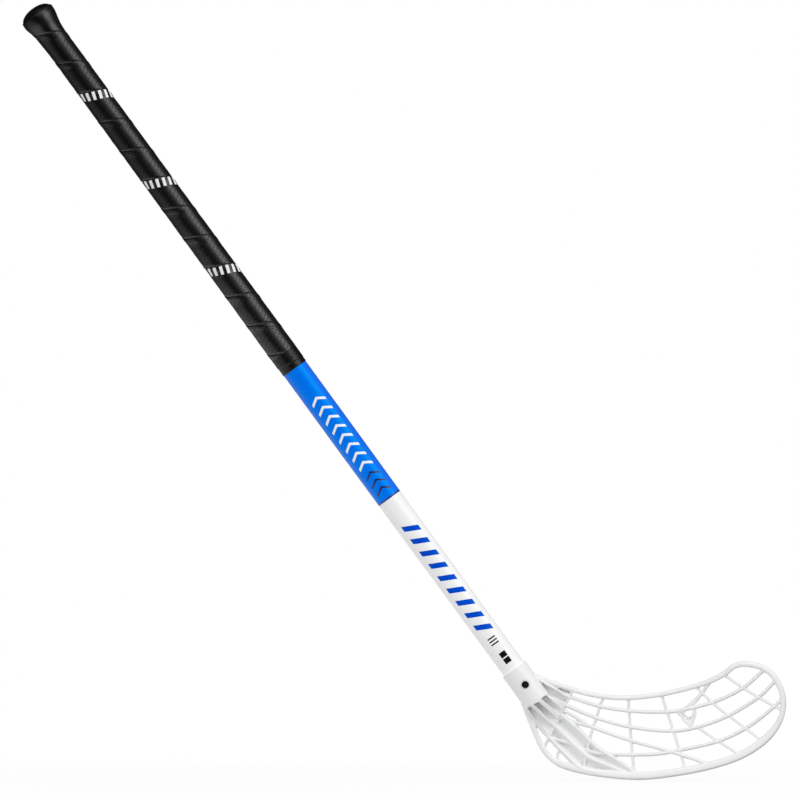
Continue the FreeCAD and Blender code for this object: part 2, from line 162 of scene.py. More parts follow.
def toObject(name, mesh, sharpAngle=32):
    mesh.normal_update()
    bmesh.ops.recalc_face_normals(mesh, faces=mesh.faces)
    for face in mesh.faces:
        face.smooth = True
    for edge in mesh.edges:
        edge.smooth = len(edge.link_faces) != 2 or edge.calc_face_angle(0) < math.radians(sharpAngle)
    data = bpy.data.meshes.new(name)
    mesh.to_mesh(data)
    mesh.free()
    return addToScene(name, data)


def turned(name, outline, place=onShaft, segments=144):  # an object turned from a closed outline
    mesh = bmesh.new()
    turnOutline(mesh, outline, place, segments)
    return toObject(name, mesh)


def dress(piece, finish, body="stick", standsFor=()):  # finish, slot and body of a piece
    piece.data.materials.clear()
    piece.data.materials.append(finish)
    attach(piece, body)
    if standsFor:
        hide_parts(*standsFor)
    print("made", piece.name, len(piece.data.polygons), "faces")


def applyModifiers(piece):  # keeps what the modifiers make as the piece's own mesh
    shown = piece.evaluated_get(bpy.context.evaluated_depsgraph_get())
    made = bpy.data.meshes.new_from_object(shown)
    old = piece.data
    piece.modifiers.clear()
    piece.data = made
    bpy.data.meshes.remove(old)


def cutAway(piece, cutters):  # takes the cutters out of a piece
    for cutter in cutters:
        cut = piece.modifiers.new("cut", "BOOLEAN")
        cut.operation = "DIFFERENCE"
        cut.solver = "EXACT"
        cut.object = cutter
        applyModifiers(piece)
        bpy.data.objects.remove(cutter)


# Finishes: a name, the darker and lighter tone, the least and most roughness, then other sockets if any

lacquer = {"mottle": 45, "grain": 650, "detail": 2, "bump": 0.12, "depth": 0.1}  # a faint orange peel
moulded = {"mottle": 30, "grain": 1800, "detail": 3, "bump": 0.1, "depth": 0.08}  # satin plastic


def shaderOf(finish):
    return finish.node_tree.nodes["Principled BSDF"]


def newFinish(name, color, roughness, **sockets):
    finish = bpy.data.materials.new(name)
    finish.use_nodes = True
    shader = shaderOf(finish)
    shader.inputs["Base Color"].default_value = (*color, 1)
    shader.inputs["Roughness"].default_value = roughness
    for socket, value in sockets.items():
        shader.inputs[socket.replace("_", " ")].default_value = value
    return finish


def addNode(owner, kind, **values):  # owner is a finish or the world
    node = owner.node_tree.nodes.new("ShaderNode" + kind)
    for name, value in values.items():
        socket = name.replace("_", " ")
        if socket in node.inputs:
            node.inputs[socket].default_value = value
        else:
            setattr(node, name, value)
    return node


def link(owner, fromSocket, toSocket):
    owner.node_tree.links.new(fromSocket, toSocket)


def wire(owner, *wires):  # each one is a node and its output, then a node and its input
    for source, output, target, socket in wires:
        link(owner, source.outputs[output], target.inputs[socket])


def mottle(finish, scale, darker, lighter, rough, spread=(0.3, 0.7)):  # uneven tone and gloss from one noise
    where = addNode(finish, "TexCoord")
    grain = addNode(finish, "TexNoise", Scale=scale, Detail=4)
    tone = addNode(finish, "ValToRGB")
    for stop, place, color in zip(tone.color_ramp.elements, spread, (darker, lighter)):
        stop.position = place
        stop.color = (*color, 1)
    gloss = addNode(finish, "MapRange", To_Min=rough[0], To_Max=rough[1])
    shader = shaderOf(finish)
    wire(finish, (where, "Object", grain, "Vector"), (grain, "Fac", tone, "Fac"),
         (tone, "Color", shader, "Base Color"), (grain, "Fac", gloss, "Value"),
         (gloss, "Result", shader, "Roughness"))
    return where, tone, gloss


def addBump(finish, height, strength, distance, over=None):  # height is a node, its first output is used
    bump = addNode(finish, "Bump", Strength=strength, Distance=distance)
    wire(finish, (height, 0, bump, "Height"), (bump, "Normal", shaderOf(finish), "Normal"))
    if over:
        wire(finish, (over, "Normal", bump, "Normal"))
    return bump


def skinFinish(kind, name, darker, lighter, rough, sockets=(), grain=None):  # kind is lacquer or moulded
    finish = newFinish(name, lighter, rough[0], **dict(sockets))
    where = mottle(finish, kind["mottle"], darker, lighter, rough)[0]
    fine = addNode(finish, "TexNoise", Scale=grain or kind["grain"], Detail=kind["detail"])
    wire(finish, (where, "Object", fine, "Vector"))
    addBump(finish, fine, kind["bump"], kind["depth"] * mm)
    return finish


def metalFinish(name, color, roughness, mottleScale, darker, lighter, rough, **sockets):
    finish = newFinish(name, color, roughness, **sockets)
    mottle(finish, mottleScale, darker, lighter, rough)
    return finish


def perforatedFinish(name, holes):  # soft grip tape with rows of small holes, laid out along the band
    finish = newFinish(name, holes["tone"], sum(holes["rough"]) / 2, Specular_IOR_Level=holes["shine"])
    where, tone, gloss = mottle(finish, holes["mottle"], holes["darker"], holes["tone"], holes["rough"])
    perMetre = 1 / (holes["spacing"] * mm)
    share = holes["width"] / holes["spacing"]
    rimFrom, rimTo = holes["rim"]
    lean = (0, 0, math.radians(holes["lean"]))
    stretch = addNode(finish, "Mapping", Scale=(perMetre, perMetre, 1), Rotation=lean)
    cells = addNode(finish, "TexVoronoi", Scale=1, Randomness=0, voronoi_dimensions="2D")
    edge = addNode(finish, "MapRange", interpolation_type="SMOOTHSTEP", From_Min=share * rimFrom,
                   From_Max=share * rimTo)
    skin = addNode(finish, "TexNoise", Scale=holes["skinGrain"], Detail=4)
    dull = addNode(finish, "MapRange", To_Min=1, To_Max=0)  # no gloss down in the holes
    rough = addNode(finish, "Math", operation="MAXIMUM")
    # the holes get a darker colour: painted shade down in each hole
    inkAndHoleShade = addNode(finish, "MixRGB", Color1=(*holes["inside"], 1))
    split = addNode(finish, "SeparateXYZ")
    knob = addNode(finish, "Math", operation="LESS_THAN")  # the first turns have no holes
    knob.inputs[1].default_value = 0
    whole = addNode(finish, "Math", operation="MAXIMUM")
    shader = shaderOf(finish)
    wire(finish, (where, "UV", stretch, "Vector"), (where, "UV", split, 0), (split, "X", knob, 0),
         (stretch, "Vector", cells, "Vector"), (cells, "Distance", edge, "Value"),
         (edge, "Result", whole, 0), (knob, 0, whole, 1), (whole, 0, inkAndHoleShade, "Fac"),
         (tone, "Color", inkAndHoleShade, "Color2"), (inkAndHoleShade, "Color", shader, "Base Color"), (whole, 0, dull, "Value"),
         (dull, "Result", rough, 0), (gloss, "Result", rough, 1), (rough, 0, shader, "Roughness"),
         (where, "Object", skin, "Vector"))
    fine = addBump(finish, skin, holes["skinBump"], holes["skinDepth"] * mm)
    addBump(finish, whole, holes["bump"], holes["depth"] * mm, over=fine)
    return finish


# Shaft

shaft = {
    "length": 870,
    "topWidth": 27,
    "endWidth": 24.9,
    "taperStart": 545,
    "wall": 2,
    "capHeight": 7.5,
    "holeFrom": 846,  # a ring above the screw's hole
    "edge": 0.3,
    "finish": ("white gloss lacquer", (0.885, 0.889, 0.897), (0.92, 0.922, 0.927), (0.28, 0.36)),
}


def shaftRadius(along):
    taper = max(along - shaft["taperStart"], 0) / (shaft["length"] - shaft["taperStart"])
    return (shaft["topWidth"] + (shaft["endWidth"] - shaft["topWidth"]) * taper) / 2


def makeShaft():
    places = (shaft["capHeight"], shaft["taperStart"], shaft["holeFrom"], shaft["length"])
    outline = [(place, shaftRadius(place)) for place in places]
    inside = [(along, radius - shaft["wall"]) for along, radius in reversed(outline)]
    tube = turned("shaftTube", roundCorners(outline + inside, shaft["edge"]))
    cutAway(tube, [screwDrill("tubeHole", 0, screw["hole"])])
    dress(tube, skinFinish(lacquer, *shaft["finish"]), standsFor=["shaft_tube"])


film = {
    "start": 456.1,
    "end": 620.4,
    "lift": 0.02,
    "thick": 0.1,
    "border": 1.7,
    "blue": ("blue gloss film", (0.0003, 0.128, 0.88), (0.0003, 0.142, 0.94), (0.36, 0.42),
             {"Specular_IOR_Level": 1, "Specular_Tint": (0, 0.9, 1, 1)}),
    "navy": ("navy gloss film", (0.002, 0.02, 0.2), (0.003, 0.026, 0.25), (0.24, 0.33)),
}


def makeSleeve(name, start, lift, thick, finish, standsFor=()):  # a skin round the shaft, to the film's end
    end = film["end"]
    places = [start] + [place for place in (shaft["taperStart"],) if start < place < end] + [end]
    outline = [(place, shaftRadius(place) + lift) for place in places]
    outline += [(place, shaftRadius(place) + lift + thick) for place in reversed(places)]
    dress(turned(name, outline), skinFinish(lacquer, *finish), standsFor=standsFor)


def makeFilm():
    lift, thick = film["lift"], film["thick"]
    makeSleeve("shaftFilm", film["start"], lift, thick, film["blue"], ["shaft_film"])
    makeSleeve("filmBorder", film["end"] - film["border"], lift + thick, lift, film["navy"])


# Plain printed marks on the shaft

printMarks = {
    "thick": 0.03,
    "middle": quarter,  # the line that they follow, along the front
    "white": ("white print", (0.86, 0.87, 0.88), grey(0.9), (0.26, 0.34)),
    "navy": ("navy print", (0.004, 0.012, 0.11), (0.005, 0.016, 0.14), (0.26, 0.34)),
    "blue": ("blue print", (0.001, 0.0515, 0.56), (0.001, 0.06, 0.624), (0.26, 0.34),
             {"Specular_IOR_Level": 0.2, "Specular_Tint": (0, 0.9, 1, 1)}),
    "black": ("black print", grey(0.001), grey(0.0016), (0.36, 0.44), {"Specular_IOR_Level": 0.2}),
    "onFilm": (0.125, "film_blue"),  # lift over the shaft, and slot
    "onLacquer": (0.01, "shaft_white"),
}
printRuns = {  # ink, ground, first place, count, step, stroke, reach to each side and slant
    "filmChevrons": ("white", "onFilm", 492, 8, 11.6, 3, 8.6, 0.62),
    "filmDarkChevrons": ("navy", "onFilm", 586, 3, 9.5, 2.4, 8.6, 0.62),
    "shaftBars": ("blue", "onLacquer", 655, 9, 15.6, 6.2, 8.4, -0.5),
    "shaftTicks": ("black", "onLacquer", 796, 3, 3.4, 1.5, 4.6, 0),
    "shaftBlocks": ("black", "onLacquer", 814.5, 2, 7.2, 6, 3.6, 0),
}


def addStripe(mesh, along, stroke, slant, lift, arcFrom, arcTo, steps=10):  # a stripe that hugs the shaft
    def stripePoint(step, edge, height):
        arc = arcFrom + (arcTo - arcFrom) * step / steps
        place = along + edge * stroke + (abs(arc) * slant if slant > 0 else -arc * slant)
        radius = shaftRadius(place) + height
        return onShaft(place, radius, printMarks["middle"] - arc / radius)

    addSlab(mesh, (lift, lift + printMarks["thick"]), steps, 1, stripePoint)


def makePrints():
    inks = {inkAndHoleShade: skinFinish(lacquer, *printMarks[inkAndHoleShade]) for inkAndHoleShade in ("white", "navy", "blue", "black")}
    for name, (inkAndHoleShade, ground, first, count, step, stroke, reach, slant) in printRuns.items():
        lift, slot = printMarks[ground]
        arms = [(0, reach), (0, -reach)] if slant > 0 else [(-reach, reach)]  # a chevron has two
        mesh = bmesh.new()
        for index in range(count):
            for arcFrom, arcTo in arms:
                addStripe(mesh, first + index * step, stroke, slant, lift, arcFrom, arcTo)
        dress(toObject(name, mesh), inks[inkAndHoleShade])


# Grip: one band of perforated tape wound from the butt down, each turn lapped over the one above

grip = {
    "start": 7.5,
    "end": 437.7,
    "firstLap": 32,  # where the lapped edge crosses the front, on the first full turn
    "pitch": 36.8,
    "runIn": 1.2,  # turns wound past each end, trimmed off later
    "runOut": 0.3,
    "trim": 0.3,
    "skin": [(7.5, 17.4), (8.3, 17.9), (10, 18.2), (12.5, 18.25), (15, 18.05), (18, 17.5), (21.5, 16.5),
             (25, 15.5), (29, 14.75), (34, 14.3), (40, 14.1), (48, 14.1), (437.7, 14.6)],
    "thick": 0.6,
    # across the band from its lapped edge: mm down the shaft, and mm out from the plain winding
    "lap": [(0, -0.55), (0.04, 0.06), (0.3, 0.2), (1.2, 0.26), (3.6, 0.24), (4.8, 0.15), (5.8, 0.03),
            (7, -0.07), (9.5, -0.1), (13, -0.06), (18, 0), (24, 0.03), (30, 0.02), (34, -0.03), (35.9, -0.1),
            (36.3, -0.4), (36.8, -0.5), (39.5, -0.55)],
    "fine": [0.6, 1.8, 2.4, 3, 4.2, 5.3, 6.4, 7.6, 8.2, 8.8, 10.2, 10.9, 11.6, 12.3, 14, 15, 16.5, 21, 27],
    "wrinkle": 0.14,
    "wrinkleStep": 2.7,
    "wrinklePlace": 7,  # they lie below the lapped edge
    "wrinkleSpread": 5,
    "patchFloor": 0.25,
    # what wanders over the band: its size, how fast it changes by turns and across, and its seed
    "drift": (5, 4.5, 0, 3),
    "patches": (1.3, 7, 0.08, 7),
    "uneven": (0.1, 6, 0.2, 0),
    "stepsPerTurn": 144,
    "topCut": {"width": 0.9, "over": 0.5, "bore": 13.6},
    "footCut": {"width": 0.8, "over": 0.02, "bore": 13.55},
    "cutEdge": 0.35,
}
gripDashes = {
    "turns": [2, 5, 8],
    "count": 7,
    "step": 6.2,
    "stroke": 2.9,
    "from": 0.5,
    "to": 10,
    "lean": -0.3,
    "lifts": (0.02, 0.14),
    "finish": ("white tape print", grey(0.8), grey(0.86), (0.4, 0.5)),
}
perforation = {
    "spacing": 3.5,
    "width": 1.4,
    "depth": 0.35,
    "bump": 0.3,
    "lean": 45,
    "rim": (0.3, 0.62),  # where a hole's edge starts and ends, in shares of its width
    "tone": (0.002, 0.002, 0.0021),
    "darker": (0.0012, 0.0012, 0.0013),
    # painted shade: the colour down in the holes, darker than the tape
    "inside": grey(0.0006),
    "rough": (0.31, 0.37),
    "shine": 0.9,
    "mottle": 220,
    "skinGrain": 900,
    "skinBump": 0.06,
    "skinDepth": 0.1,
}


def gripSkin(along):  # radius of the plain winding
    return readTable(grip["skin"], along)


def lapHeight(across):
    return readTable(grip["lap"], across)


def bandNoise(kind, turns, across):
    size, byTurns, byAcross, seed = grip[kind]
    return size * noise.noise(Vector((turns * byTurns, across * byAcross, seed)))


def bandPoint(turns, across, lift=0.0):  # turns are counted from the first lapped edge at the front
    along = grip["firstLap"] + grip["pitch"] * turns + across
    turn = quarter - turns * tau
    phase = tau * across / grip["wrinkleStep"] + bandNoise("drift", turns, across)
    patchy = max(0, grip["patchFloor"] + bandNoise("patches", turns, across))
    place = math.exp(-((across - grip["wrinklePlace"]) / grip["wrinkleSpread"]) ** 2) * patchy
    crease = grip["wrinkle"] * place * math.sin(phase) + bandNoise("uneven", turns, across)
    return onShaft(along, gripSkin(along) + lapHeight(across) + crease + lift, turn)


def addBand(mesh):
    uv = mesh.loops.layers.uv.new("band")
    fine = sorted(set([across for across, height in grip["lap"]] + grip["fine"]))
    firstTurn = -grip["runIn"] - grip["firstLap"] / grip["pitch"]
    lastTurn = (grip["end"] - grip["firstLap"]) / grip["pitch"] + grip["runOut"]
    count = int((lastTurn - firstTurn) * grip["stepsPerTurn"])
    around = tau * grip["skin"][-1][1] * mm
    columns = []
    for step in range(count + 1):
        turns = firstTurn + (lastTurn - firstTurn) * step / count
        spots = [(bandPoint(turns, across), across) for across in fine]
        for across in (fine[-1], fine[0]):  # and back along the underside
            spots.append((bandPoint(turns, across, -grip["thick"] - lapHeight(across)), across))
        columns.append([(mesh.verts.new(spot), (turns * around, across * mm)) for spot, across in spots])
    size = len(columns[0])
    for column, nextColumn in zip(columns, columns[1:]):
        for index in range(size):
            other = (index + 1) % size
            corners = [column[index], column[other], nextColumn[other], nextColumn[index]]
            face = mesh.faces.new([vertex for vertex, spot in corners])
            for loop, (vertex, spot) in zip(face.loops, corners):
                loop[uv].uv = spot


def trimBand(mesh):  # square ends at the cap and at the finishing tape
    for along, normal in ((grip["start"] + grip["trim"], -down), (grip["end"] - grip["trim"], down)):
        everything = list(mesh.verts) + list(mesh.edges) + list(mesh.faces)
        bmesh.ops.bisect_plane(mesh, geom=everything, plane_co=onShaft(along, 0, 0), plane_no=normal,
                               clear_outer=True)


def addCutEdge(mesh, along, skin, cut):  # the trimmed end of the tape, as a rounded ring
    addRing(mesh, along, along + cut["width"], cut["bore"], skin + cut["over"], grip["cutEdge"])


def makeGrip():
    mesh = bmesh.new()
    addBand(mesh)
    trimBand(mesh)
    addCutEdge(mesh, grip["start"], gripSkin(grip["start"]), grip["topCut"])
    addCutEdge(mesh, grip["end"] - grip["footCut"]["width"], gripSkin(grip["end"]), grip["footCut"])
    finish = perforatedFinish("black grip tape", perforation)
    dress(toObject("gripTape", mesh, tapeAngle), finish, standsFor=["grip_wrap"])


def addDash(mesh, turns, around, rows=8):  # a leaning dash printed on the lapped edge
    marks = gripDashes

    def dashPoint(row, column, lift):
        across = marks["from"] + (marks["to"] - marks["from"]) * row / rows
        lean = marks["lean"] * (across - marks["from"])
        end = (lean - marks["stroke"] / 2 * (1 - column)) / around
        return bandPoint(turns + end, across, lift)

    addSlab(mesh, marks["lifts"], rows, 2, dashPoint)


def makeGripDashes():
    marks = gripDashes
    around = tau * gripSkin(grip["end"] / 2)
    mesh = bmesh.new()
    for lapTurn in marks["turns"]:
        for index in range(marks["count"]):
            addDash(mesh, lapTurn + (index - (marks["count"] - 1) / 2) * marks["step"] / around, around)
    dress(toObject("gripDashes", mesh, tapeAngle), skinFinish(moulded, *marks["finish"]))


# Finishing tape: two rounds of a short soft tape, the upper one thicker

finishingTape = {
    "start": 437.7,
    "end": 456.1,
    "upper": 14.5,
    "lower": 14.12,
    "bore": 13.52,
    "step": 449,
    "stepSkew": 2,
    "stepAbove": 0.7,
    "stepBelow": 0.5,
    "stepSeed": 5,
    "endDrop": 0.3,
    "endLength": 0.5,
    "rows": 46,
    "segments": 144,
    "ripple": 0.09,
    "rippleTurns": 4,
    "rippleAlong": 0.3,
    "fineShare": 0.6,  # a second, finer ripple
    "fineScale": 2.1,
    # small embossed spots: place, turn, width and height
    "bumps": [(444.6, math.radians(69), 1.3, 0.3), (448.4, math.radians(97), 0.8, 0.3),
              (442.5, math.radians(60), 0.8, 0.25)],
    "finish": ("black finishing tape", grey(0.001), grey(0.002), (0.34, 0.44)),
    "grain": 700,
}


def tapeRadius(along, turn):
    tape = finishingTape
    across, out = math.cos(turn), math.sin(turn)
    edge = tape["step"] + tape["stepSkew"] * across
    edge += noise.noise(Vector((across, out, tape["stepSeed"])))
    step = soften(edge - tape["stepAbove"], edge + tape["stepBelow"], along)
    radius = tape["upper"] + (tape["lower"] - tape["upper"]) * step
    spot = Vector((across * tape["rippleTurns"], out * tape["rippleTurns"], along * tape["rippleAlong"]))
    fine = tape["fineShare"] * tape["ripple"] * noise.noise(spot * tape["fineScale"])
    radius += tape["ripple"] * noise.noise(spot) + fine
    radius -= tape["endDrop"] * soften(tape["end"] - tape["endLength"], tape["end"], along)
    for place, where, wide, high in tape["bumps"]:
        far = math.hypot(along - place, (turn - where) * radius) / wide
        radius += high * math.exp(-far ** 2)
    return radius


def makeFinishingTape():
    tape = finishingTape
    turns = [tau * step / tape["segments"] for step in range(tape["segments"])]
    mesh = bmesh.new()
    rings = []
    for row in range(tape["rows"] + 1):
        along = tape["start"] + (tape["end"] - tape["start"]) * row / tape["rows"]
        rings.append([mesh.verts.new(onShaft(along, tapeRadius(along, turn), turn)) for turn in turns])
    for along in (tape["end"], tape["start"]):
        rings.append([mesh.verts.new(onShaft(along, tape["bore"], turn)) for turn in turns])
    addLoft(mesh, rings + rings[:1], capped=False)
    finish = skinFinish(moulded, *tape["finish"], grain=tape["grain"])
    dress(toObject("finishingTape", mesh, tapeAngle), finish, standsFor=["finishing_tape"])


# End cap

endCap = {
    "dome": [(0.5, 0), (0.6, 2.5), (0.95, 5.5), (1.6, 8.5), (2.6, 11.3), (3.9, 13.6), (5.3, 15.3),
             (6.5, 16.3), (7.2, 16.7), (7.5, 16.4)],
    "domeSpacing": 0.5,
    "height": 7.5,
    "plugLength": 24,
    "plugRadius": 11.45,
    "plugWall": 2.2,
    "finish": ("black satin cap", grey(0.001), grey(0.002), (0.26, 0.34)),
}


def makeEndCap():
    cap = endCap
    plugEnd, plugInside = cap["height"] + cap["plugLength"], cap["plugRadius"] - cap["plugWall"]
    outline = [tuple(spot) for spot in smoothLine(cap["dome"], cap["domeSpacing"])]
    outline += [(cap["height"], cap["plugRadius"]), (plugEnd, cap["plugRadius"])]
    outline += [(plugEnd, plugInside), (cap["height"], plugInside), (cap["height"], 0)]
    dress(turned("endCap", outline), skinFinish(moulded, *cap["finish"]), standsFor=["end_cap"])


# Collar that the knob's tape is wound over

buttCollar = {
    "end": 42,
    "under": 1.05,  # below the tape's outside
    "edge": 0.15,
    "finish": ("dark foam collar", grey(0.05), grey(0.09), (0.7, 0.85)),
    "grain": 900,
}


def makeCollar():
    bore, end = shaft["topWidth"] / 2, buttCollar["end"]
    thinnest = bore + buttCollar["edge"]
    places = [place for place, radius in grip["skin"] if place < end] + [end]
    outline = [(place, max(gripSkin(place) - buttCollar["under"], thinnest)) for place in places]
    collar = turned("buttCollar", outline + [(end, bore), (places[0], bore)])
    finish = skinFinish(moulded, *buttCollar["finish"], grain=buttCollar["grain"])
    dress(collar, finish, standsFor=["butt_collar"])


# Blade screw

screw = {
    "place": 855.8,
    "seat": 13.4,  # from the shaft's axis to the underside of the head
    "head": 7.4,
    "headHeight": 2.2,
    "headRise": (0.45, 0.55),  # shares of its height: the straight side, then the rounding
    "headSpread": (0.55, 0.45),  # shares of its radius: the flat top, then the rounding
    "headSteps": 8,
    "segments": 64,
    "shank": 3.5,
    "core": 2.7,
    "length": 14,
    "point": 3,
    "tip": 0.3,
    "thread": 1.25,
    "threadFrom": 1,  # below the head
    "threadFoot": 0.4,  # half its width at the core
    "threadCrest": 0.08,
    "threadSunk": 0.1,
    "threadEnd": 0.02,
    "slotLength": 4.4,
    "slotWidth": 1.0,
    "slotDepth": 1.4,
    "slotNarrow": 0.6,  # its foot against its mouth
    "slotTurn": 20,
    "wornHighlightAbove": 0.3,  # the paler part of the recess, worn and with a painted highlight, from the seat, the top and the slot's ends
    "wornHighlightBelow": 0.15,
    "wornHighlightPast": 0.1,
    "hole": 1.8,
    "drillEnd": 20,
    "drillSegments": 48,
    "steel": {"name": "blackened steel", "color": grey(0.002), "roughness": 0.38, "mottleScale": 900,
              "darker": grey(0.001), "lighter": grey(0.003), "rough": (0.36, 0.48),
              "Specular_IOR_Level": 0.2},
    # the recess's paler grey is partly wear and partly a painted highlight on its walls
    "wornHighlight": {"name": "recess wear and painted highlight", "color": (0.05, 0.05, 0.052), "roughness": 0.4, "mottleScale": 1500,
             "darker": (0.03, 0.03, 0.031), "lighter": (0.07, 0.07, 0.072), "rough": (0.32, 0.5),
             "Metallic": 0.5},
}


def screwPlace(along, radius, turn):  # along runs out of the hosel's front, zero on the shaft's axis
    out = front * along + (side * math.cos(turn) + down * math.sin(turn)) * radius
    return onShaft(screw["place"], 0, 0) + mm * out


def screwDrill(name, near, radius):  # a cutter along the screw, from near out past the hosel
    end = screw["drillEnd"]
    outline = [(near, 0), (near, radius), (end, radius), (end, 0)]
    return turned(name, outline, screwPlace, screw["drillSegments"])


def screwOutline(seat, top):
    tip, core = seat - screw["length"], screw["core"] / 2
    outline = [(top, 0)]
    for step in range(screw["headSteps"] + 1):  # rounded pan head
        turn = quarter * step / screw["headSteps"]
        rise = screw["headRise"][0] + screw["headRise"][1] * math.cos(turn)
        spread = screw["headSpread"][0] + screw["headSpread"][1] * math.sin(turn)
        outline.append((seat + screw["headHeight"] * rise, screw["head"] / 2 * spread))
    outline += [(seat, screw["head"] / 2), (seat, core), (tip + screw["point"], core)]
    return outline + [(tip, screw["tip"]), (tip, 0)]


def slotCutter(top, turn):  # one arm of the cross recess, narrower at its foot
    box = bmesh.new()
    bmesh.ops.create_cube(box, size=1)
    for vertex in box.verts:
        across, wide, deep = vertex.co
        across, wide = across * screw["slotLength"], wide * screw["slotWidth"]
        narrow = 1 if deep > 0 else screw["slotNarrow"]
        angle = math.atan2(wide, across) + turn + math.radians(screw["slotTurn"])
        radius = math.hypot(across * narrow, wide * narrow)
        vertex.co = screwPlace(top + deep * 2 * screw["slotDepth"], radius, angle)
    return toObject("recess", box)


def addThread(mesh, seat, steps=30):  # a ridge that winds round the core
    core, lead = screw["core"] / 2, screw["threadFrom"]
    foot, half, sunk = screw["threadFoot"], screw["threadCrest"], core - screw["threadSunk"]
    turns = (screw["length"] - screw["point"] - lead) / screw["thread"]
    rings = []
    for step in range(int(turns * steps) + 1):
        turn = tau * step / steps
        along = seat - lead - screw["thread"] * step / steps
        fade = min(1, step / steps, (turns * steps - step) / steps + screw["threadEnd"])
        crest = core + (screw["shank"] - screw["core"]) / 2 * fade
        section = [(along + foot, sunk), (along + half, crest), (along - half, crest), (along - foot, sunk)]
        rings.append([mesh.verts.new(screwPlace(place, radius, turn)) for place, radius in section])
    addLoft(mesh, rings)


def makeScrew():
    seat, top = screw["seat"], screw["seat"] + screw["headHeight"]
    plain = turned("bladeScrew", screwOutline(seat, top), screwPlace, screw["segments"])
    cutAway(plain, [slotCutter(top, turn) for turn in (0, quarter)])
    mesh = bmesh.new()
    addThread(mesh, seat)
    mesh.from_mesh(plain.data)
    bpy.data.objects.remove(plain)
    piece = toObject("bladeScrew", mesh)
    dress(piece, metalFinish(**screw["steel"]), body="screw", standsFor=["blade_screw"])
    piece.data.materials.append(metalFinish(**screw["wornHighlight"]))
    for face in piece.data.polygons:  # the recess is paler: partly wear from the driver, partly a painted highlight on its walls
        far = face.center / mm - onShaft(screw["place"], 0, 0) / mm
        out = far.dot(front)
        around = (far - front * out).length
        deep = seat + screw["wornHighlightAbove"] < out < top - screw["wornHighlightBelow"]
        face.material_index = 1 if deep and around < screw["slotLength"] / 2 + screw["wornHighlightPast"] else 0


# Blade: its lines are places in the photograph, in pixels, set on the cupped face

blade = {
    "shaftEndPixel": (533.3, 695.6),
    "toePixel": 785.6,
    "solePixel": 779.8,
    "toeTopPixel": 661,
    "reach": 258.2,
    "drop": 86.1,
    "hook": 20,
    "scoop": 4.5,
    "railDepth": 7.8,
    "railSquareness": 3,
    "railCorners": 20,
    "longRib": (3.7, 6.4),  # width and depth
    "crossRib": (2.9, 5.4),
    "voxel": 0.55,
    "smoothing": 6,
    "easing": 0.5,
    "triangles": 190000,
    "finish": ("white moulded blade", (0.82, 0.825, 0.83), (0.86, 0.862, 0.865), (0.34, 0.44)),
    "grain": 1300,
}
railPixels = [
    ([(525, 669.3), (545, 677.8), (567, 685.5), (592, 692.3), (622, 695.5), (660, 692), (700, 682)], 4.9),
    ([(721, 672), (732, 663.6), (745, 661), (763, 665), (777, 677), (785, 697), (782.5, 719)], 5.7),
    ([(769, 740), (745, 757), (715, 768), (680, 775.5), (640, 779.8), (600, 777), (570, 771)], 8),
    ([(553, 763.5), (540, 749), (528, 722), (518, 696)], 5.7),
]
longRibPixels = [
    [(528, 672.5, 3, 10), (538, 678.6, 3, 12), (548.8, 685.2, 3, 11), (560, 691.4, 3.2, 9),
     (571, 697.3, 3.6, 7), (600, 706.5), (630, 711), (660, 712), (681, 710), (713, 702), (742, 688),
     (765, 668)],
    [(544, 693.5, 3, 15), (553, 699, 3.6, 12), (563, 704, 4, 8), (595, 717.5), (630, 727), (670, 731),
     (697, 727), (728, 715.5), (758, 697), (777, 678)],
    [(559, 708), (576, 717.5), (592, 727), (630, 740.5), (672, 752), (707, 763.5), (714, 766)],
    [(558, 717), (575, 722.5), (592, 727)],
    [(551, 738), (571, 744), (588.5, 751), (605, 754.2), (650, 754.5), (680, 750), (718, 741), (747, 727),
     (770, 709.5), (783, 697)],
    [(522, 700), (532, 718), (549, 738), (562, 752), (580, 770)],
    [(559, 712, 4, 7), (579, 730, 4.2, 7.6), (596, 746.5, 4.2, 7.2), (612, 757, 4, 6.6), (640, 776, 4, 6)],
]
crossRibPixels = [
    [(573.5, 688, 2.9, 7), (562, 712, 2.9, 7.4), (549, 738, 2.9, 7), (542, 751, 2.9, 5)],
    [(604, 696), (600, 706), (596.4, 718.5), (592.5, 729), (588, 746, 3, 7), (583, 770, 3, 7)],
    [(628, 696), (630, 727), (634, 775)],
    [(660.5, 693), (672.5, 729), (686, 772)],
    [(694, 685), (712, 702.5), (729, 716), (765, 743)],
    [(722, 673.5), (742, 687), (758, 697), (783, 711)],
    [(697, 727), (717, 740.5), (741, 755.5)],
    [(677, 712.5, 4.4), (684, 709.5, 4.6), (692, 703.5, 4.8), (700, 695, 3.8), (711, 680.5, 2.9)],
    [(560.5, 749), (557.5, 755), (559, 764)],
]
loopPixels = [  # the small loop under the second rib: its ring, two legs and the thin plate between them
    ([(683, 712), (685.6, 709.2), (690.2, 707.9), (693, 709.3), (693.5, 712.3), (692, 715.7), (689, 717.6),
      (685.7, 716), (683, 712), (685.6, 709.2)], 2.3, 5),
    ([(677.5, 712.5), (681.3, 716), (684, 720), (688, 723.5), (693, 727)], 3.2, 4.6),
    ([(694.3, 709), (695, 714), (693.4, 719.5), (691.8, 722.5), (692.5, 727)], 2.5, 4.6),
    ([(687.2, 718), (689.4, 720.8), (691.5, 724)], 6.6, 2.4),
]
sheets = [  # thin walls between two lines, the first one folded
    {"lower": [(549, 738), (562, 752), (578, 767), (592, 772), (612, 775.5), (634, 777)],
     "upper": [(560.5, 713.5), (579, 730), (596, 746.5), (612, 757), (630, 769), (640, 775.5)],
     "depth": 2.2, "back": 0, "fold": 3.4, "folds": 2},
    {"lower": [(543, 697), (554, 703), (566, 708)],
     "upper": [(533, 675.5), (549, 682), (572, 690.5)],
     "depth": 1.8, "back": 2.9, "fold": 0, "folds": 1},
]
